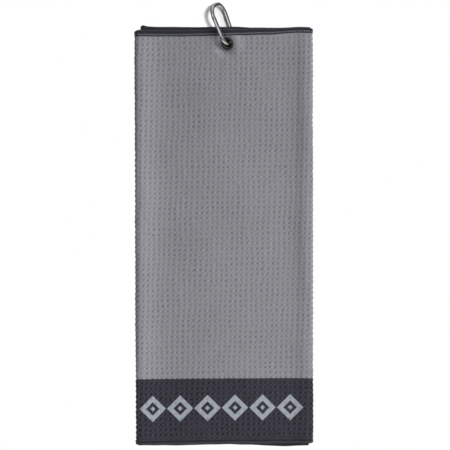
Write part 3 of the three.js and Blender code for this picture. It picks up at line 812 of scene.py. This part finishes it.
# ---------------------------------------------------------------- hems
def wrap(depth, seams, face=1.16):
    """Closed profile for tape() of a folded-over tape, dented where the seams are.

    depth is how far it reaches in from the edge, face the height of its face side.
    """
    distance = np.array([0.0, 0.10, 0.35, 0.7, 1.1, 1.5, 2.0, 2.5, 3.0, 3.5, 4.0, 4.4, 4.7, 5.1,
                         5.5, 5.8, 6.0, 6.05]) * depth / 6.05
    dome = 1 - 0.35 * np.clip(1 - distance, 0, 1) ** 2
    dip, near = np.zeros(len(distance)), np.zeros(len(distance))
    for seam_distance in seams:
        dip += 0.26 * np.exp(-0.5 * ((distance - seam_distance) / 0.36) ** 2)
        near += np.exp(-0.5 * ((distance - seam_distance) / 0.8) ** 2)
    end = np.where(distance > depth - 0.12, 0.55, 1.0)
    front = (face * dome - dip) * end
    rear = (dome - dip * 0.7) * end
    front[0] = rear[0] = 0.45
    return np.concatenate([np.stack([distance, front, near], 1),
                           np.stack([distance, -rear, near], 1)[::-1]])


ALONG_ACROSS = span(OUTER_END + SIDE_HEM - 0.8, INNER_END - SIDE_HEM + 0.8, 0.545)
ALONG_UP = span(-HALF - 0.1, HALF + 0.1, 0.625)
add_piece(tape("top_hem_tape", HALF, -1, wrap(HALF - TOP + 0.6, seams=(0.75, 4.75)),
               ALONG_ACROSS, TAPE, runs_across=True, pull=hem_pull),
          ("front_top_hem", "inner_flap_top_hem", "outer_flap_top_hem"))
add_piece(tape("bottom_hem_tape", -HALF, 1, wrap(HALF + BOTTOM, seams=(3.2,)),
               ALONG_ACROSS, TAPE_LOW, runs_across=True),
          ("front_bottom_hem", "inner_flap_bottom_hem", "outer_flap_bottom_hem"),
          bends=True)
add_piece(tape("inner_flap_side_binding", INNER_END, -1,
               wrap(SIDE_HEM, seams=(SIDE_SEAM,), face=1.0), ALONG_UP, TAPE, runs_across=False),
          ("inner_flap_side_hem",))
add_piece(tape("outer_flap_side_binding", OUTER_END, 1, wrap(SIDE_HEM, seams=(SIDE_SEAM,)),
               ALONG_UP, TAPE, runs_across=False),
          ("outer_flap_side_hem", "outer_flap_head_side_hem"), bends=True)


# ---------------------------------------------------------------- seams
def stitch_row(across_0, up_0, across_1, up_1, height, side):
    """Both ends, height and side of each stitch; the reverse side's stitches lie lower."""
    if side < 0:
        height = height - 0.08
    return np.stack(np.broadcast_arrays(across_0, up_0, across_1, up_1, height, side))


def hem_seam(first, last, line, height, slant, pull=None):
    """Short stitches along a top seam that slant up the towel, staggered on the reverse."""
    length = 0.12
    starts = np.arange(first, last - length, STITCH_PITCH)
    rows = []
    for side, stagger in ((1.0, 0.0), (-1.0, STITCH_PITCH / 2)):
        begin = starts + stagger
        level = line + pull(begin) if pull else line
        rows.append(stitch_row(begin, level, begin + length, level + slant, height, side))
    return rows


def side_seam(line, height):
    """Stitches up a flap's side hem, staggered on the reverse."""
    length = 1.75
    starts = np.arange(-HALF + 1, HALF - 1 - length, STITCH_PITCH)
    return [stitch_row(line, starts + stagger, line, starts + stagger + length, height, side)
            for side, stagger in ((1.0, 0.0), (-1.0, STITCH_PITCH / 2))]


def upright_seam(first, last, low, high, height):
    """Stitches that stand across the bottom hem, in step on both sides."""
    starts = np.arange(first, last, STITCH_PITCH)
    return [stitch_row(starts, low, starts + 0.25, high, height, side) for side in (1.0, -1.0)]


SEAM_START, SEAM_END = OUTER_END + SIDE_HEM + 1.2, INNER_END - SIDE_HEM - 1.2
top_rows = hem_seam(SEAM_START, SEAM_END, HALF - 5.45, height=1.20, slant=1.45, pull=hem_pull)
top_rows += hem_seam(SEAM_START + 1.1, SEAM_END, HALF - 0.95, height=0.88, slant=0.40)
add_piece(threads("top_seam_thread", top_rows, radius=0.29, material=LIGHT_THREAD),
          ("front_top_thread", "inner_flap_top_thread", "outer_flap_top_thread"))
bottom_rows = upright_seam(SEAM_START, SEAM_END, -HALF + 2.1, -HALF + 4.2, height=1.16)
add_piece(threads("bottom_seam_thread", bottom_rows, radius=0.46, material=DARK_THREAD),
          ("front_bottom_thread", "inner_flap_bottom_thread", "outer_flap_bottom_thread"),
          bends=True)
add_piece(threads("inner_flap_side_seam_thread", side_seam(INNER_END - SIDE_SEAM, height=0.92),
                  radius=0.26, material=DARK_THREAD),
          ("inner_flap_side_thread",))
add_piece(threads("outer_flap_side_seam_thread", side_seam(OUTER_END + SIDE_SEAM, height=1.04),
                  radius=0.28, material=DARK_THREAD),
          ("outer_flap_side_thread", "outer_flap_head_side_thread"), bends=True)


# ---------------------------------------------------------------- metal, carried over from the CAD
def smooth_by_angle():
    """Geometry nodes that weld the mesh and shade it smooth except at sharp edges."""
    group = bpy.data.node_groups.new("smooth_by_angle", "GeometryNodeTree")
    for direction in ("INPUT", "OUTPUT"):
        group.interface.new_socket("Geometry", in_out=direction,
                                   socket_type="NodeSocketGeometry")
    new, link = group.nodes.new, group.links.new
    source, result = new("NodeGroupInput"), new("NodeGroupOutput")
    drop = new("GeometryNodeRemoveAttribute")
    drop.inputs["Name"].default_value = "custom_normal"
    merge = new("GeometryNodeMergeByDistance")
    merge.inputs["Distance"].default_value = 2e-6
    faces = new("GeometryNodeSetShadeSmooth")
    faces.domain = "FACE"
    edges = new("GeometryNodeSetShadeSmooth")
    edges.domain = "EDGE"
    angle = new("GeometryNodeInputMeshEdgeAngle")
    gentle = new("FunctionNodeCompare")
    gentle.data_type, gentle.operation = "FLOAT", "LESS_EQUAL"
    gentle.inputs[1].default_value = math.radians(34)
    link(source.outputs[0], drop.inputs["Geometry"])
    link(drop.outputs[0], merge.inputs["Geometry"])
    link(merge.outputs[0], faces.inputs["Geometry"])
    link(faces.outputs[0], edges.inputs["Geometry"])
    link(angle.outputs["Unsigned Angle"], gentle.inputs[0])
    link(gentle.outputs[0], edges.inputs["Shade Smooth"])
    link(edges.outputs[0], result.inputs[0])
    return group


SMOOTH = smooth_by_angle()
METAL_PARTS = (
    ("eyelet_barrel", GUNMETAL), ("eyelet_washer", GUNMETAL),
    ("carabiner_body", NICKEL), ("gate", NICKEL), ("gate_hinge_pin", NICKEL),
    ("latch_pin", NICKEL), ("spring_plunger", SPRING), ("gate_spring", SPRING))
for node_name, metal in METAL_PARTS:
    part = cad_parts[node_name]
    part.data.materials.clear()
    part.data.materials.append(metal)
    part.modifiers.new("smooth_by_angle", "NODES").node_group = SMOOTH


# ---------------------------------------------------------------- stage
def disc(name, centre, radius, sides, second_axis, material):
    """A flat disc spanned by x and a second axis."""
    points = [np.array(centre)]
    for i in range(sides):
        angle = 2 * math.pi * i / sides
        offset = np.array([math.cos(angle), 0.0, 0.0]) + math.sin(angle) * np.array(second_axis)
        points.append(points[0] + radius * offset)
    faces = np.array([(0, i + 1, (i + 1) % sides + 1) for i in range(sides)])
    ob = new_mesh(name, points, [faces], material)
    return ob


def make_floor():
    g = Graph("pale_floor")
    x, y = g.position("xy")
    far = g.math("SQRT", x * x + y * y)
    mottled = g.noise(x, y, 0.0, scale=0.01) - 0.5
    g.set(Base_Color=g.scale_colour((0.82, 0.82, 0.83), 1 + mottled * 0.03), Roughness=0.9,
          Alpha=1 - g.smooth(far, 420.0, 880.0))
    disc("floor", (0.0, 0.0, -300.0), radius=900.0, sides=64, second_axis=(0.0, 1.0, 0.0),
         material=g.material)


def make_backdrop():
    """A pale card close behind the clip. It shows only from straight in front, takes the clip's
    soft shadow, and is dark behind the towel, where no light reaches."""
    middle_z = 212.0
    g = Graph("pale_backdrop")
    x, z = g.position("xz")
    reach = g.math("SQRT", x * x + (z - middle_z) * (z - middle_z))
    incoming = g.split(g.output("ShaderNodeNewGeometry", "Incoming"))
    head_on = g.smooth(incoming[1] * -1.0, 0.965, 0.985)
    camera_ray = g.output("ShaderNodeLightPath", "Is Camera Ray")
    above = g.smooth(z, 199.0, 204.0)
    mottled = g.noise(x, z, 0.0, scale=0.05) - 0.5
    # painted shade: the card's colour is dark below the towel's top edge, where no light reaches
    tone = (above * 0.96 + 0.04) * (1 + mottled * 0.02)
    g.set(Base_Color=g.scale_colour((0.45, 0.45, 0.455), tone), Roughness=1.0,
          Specular_IOR_Level=0.0, Alpha=camera_ray * head_on * (1 - g.smooth(reach, 26.0, 44.0)))
    return disc("backdrop", (0.0, 8.5, middle_z), radius=46.0, sides=48,
                second_axis=(0.0, 0.0, 1.0), material=g.material)


make_floor()
backdrop = make_backdrop()


# ---------------------------------------------------------------- world
def build_world():
    """White to the camera, a soft fill for matt surfaces, and a dim room for polished metal."""
    world = bpy.data.worlds.new("studio")
    bpy.context.scene.world = world
    world.use_nodes = True
    tree = world.node_tree
    tree.nodes.clear()
    new, link = tree.nodes.new, tree.links.new
    coordinates = new("ShaderNodeTexCoord")
    path = new("ShaderNodeLightPath")

    def glow(direction, low, high, dark, bright):
        """Brightness that rises smoothly as a ray turns towards a direction."""
        dot = new("ShaderNodeVectorMath")
        dot.operation = "DOT_PRODUCT"
        dot.inputs[1].default_value = Vector(direction).normalized()
        link(coordinates.outputs["Generated"], dot.inputs[0])
        ramp = smooth_ramp(tree, low, high, dark, bright)
        link(dot.outputs["Value"], ramp.inputs[0])
        return ramp.outputs[0]

    def background(*strengths):
        """Background whose strength is the sum of the given sockets."""
        total = strengths[0]
        for strength in strengths[1:]:
            add = new("ShaderNodeMath")
            link(total, add.inputs[0])
            link(strength, add.inputs[1])
            total = add.outputs[0]
        node = new("ShaderNodeBackground")
        link(total, node.inputs[1])
        return node

    def choose(ray_kind, otherwise, chosen):
        mix = new("ShaderNodeMixShader")
        link(path.outputs[ray_kind], mix.inputs[0])
        link(otherwise.outputs[0], mix.inputs[1])
        link(chosen.outputs[0], mix.inputs[2])
        return mix

    white = new("ShaderNodeBackground")
    white.inputs[0].default_value = (1, 1, 1, 1)
    white.inputs[1].default_value = 1.0
    fill = background(glow((0.30, -0.78, 0.55), low=-0.5, high=0.9, dark=0.10, bright=0.34))
    # the dim room has a bright panel in front and a strip overhead
    room = background(glow((0.0, -1.0, 0.0), low=-0.45, high=0.8, dark=0.03, bright=0.28),
                      glow((-0.34, -0.92, 0.05), low=0.86, high=0.97, dark=0.0, bright=1.10),
                      glow((0.1, 0.10, 1.0), low=0.40, high=0.95, dark=0.0, bright=0.55))
    seen = choose("Is Camera Ray", choose("Is Glossy Ray", fill, room), white)
    link(seen.outputs[0], new("ShaderNodeOutputWorld").inputs[0])


build_world()


# ---------------------------------------------------------------- lights and camera, in metres
def area(name, location, size, power, look_at=(0, 0, 0), colour=(1, 1, 1)):
    """A round area light that polished metal doesn't mirror."""
    data = bpy.data.lights.new(name, "AREA")
    data.shape, data.size, data.energy, data.color = "DISK", size, power, colour
    ob = bpy.data.objects.new(name, data)
    ob.location = location
    ob.visible_glossy = False
    direction = Vector(look_at) - Vector(location)
    ob.rotation_euler = direction.to_track_quat("-Z", "Y").to_euler()
    bpy.context.scene.collection.objects.link(ob)
    return ob


area("key", (2.0, -1.5, 1.05), size=2.1, power=92)
area("fill", (-1.2, -2.2, 0.4), size=1.6, power=7, colour=(0.96, 0.98, 1.0))
area("back", (-1.2, 2.0, 1.0), size=1.4, power=45)
# a smaller light from the key's side that falls on the backdrop only, for the clip's shadow
shade = area("backdrop_key", (0.56, -1.8, 0.43), size=0.26, power=58, look_at=(0, 0, 0.21))
only_backdrop = bpy.data.collections.new("backdrop_only")
only_backdrop.objects.link(backdrop)
shade.light_linking.receiver_collection = only_backdrop

VIEW_X, VIEW_Z = 0.0010, 0.0110
VIEW_WIDTH = 0.4406  # width seen at the front of the towel
CAMERA_DISTANCE = 3.0
lens = bpy.data.cameras.new("camera")
lens.sensor_width = 36
lens.lens = 36 * CAMERA_DISTANCE / VIEW_WIDTH
lens.clip_end = 50
camera = bpy.data.objects.new("camera", lens)
camera.location = (VIEW_X, FRONT_LO[1] / MM - CAMERA_DISTANCE, VIEW_Z)
camera.rotation_euler = (math.pi / 2, 0, 0)
scene = bpy.context.scene
scene.collection.objects.link(camera)
scene.camera = camera
scene.view_settings.view_transform = "Standard"
scene.view_settings.look = "None"
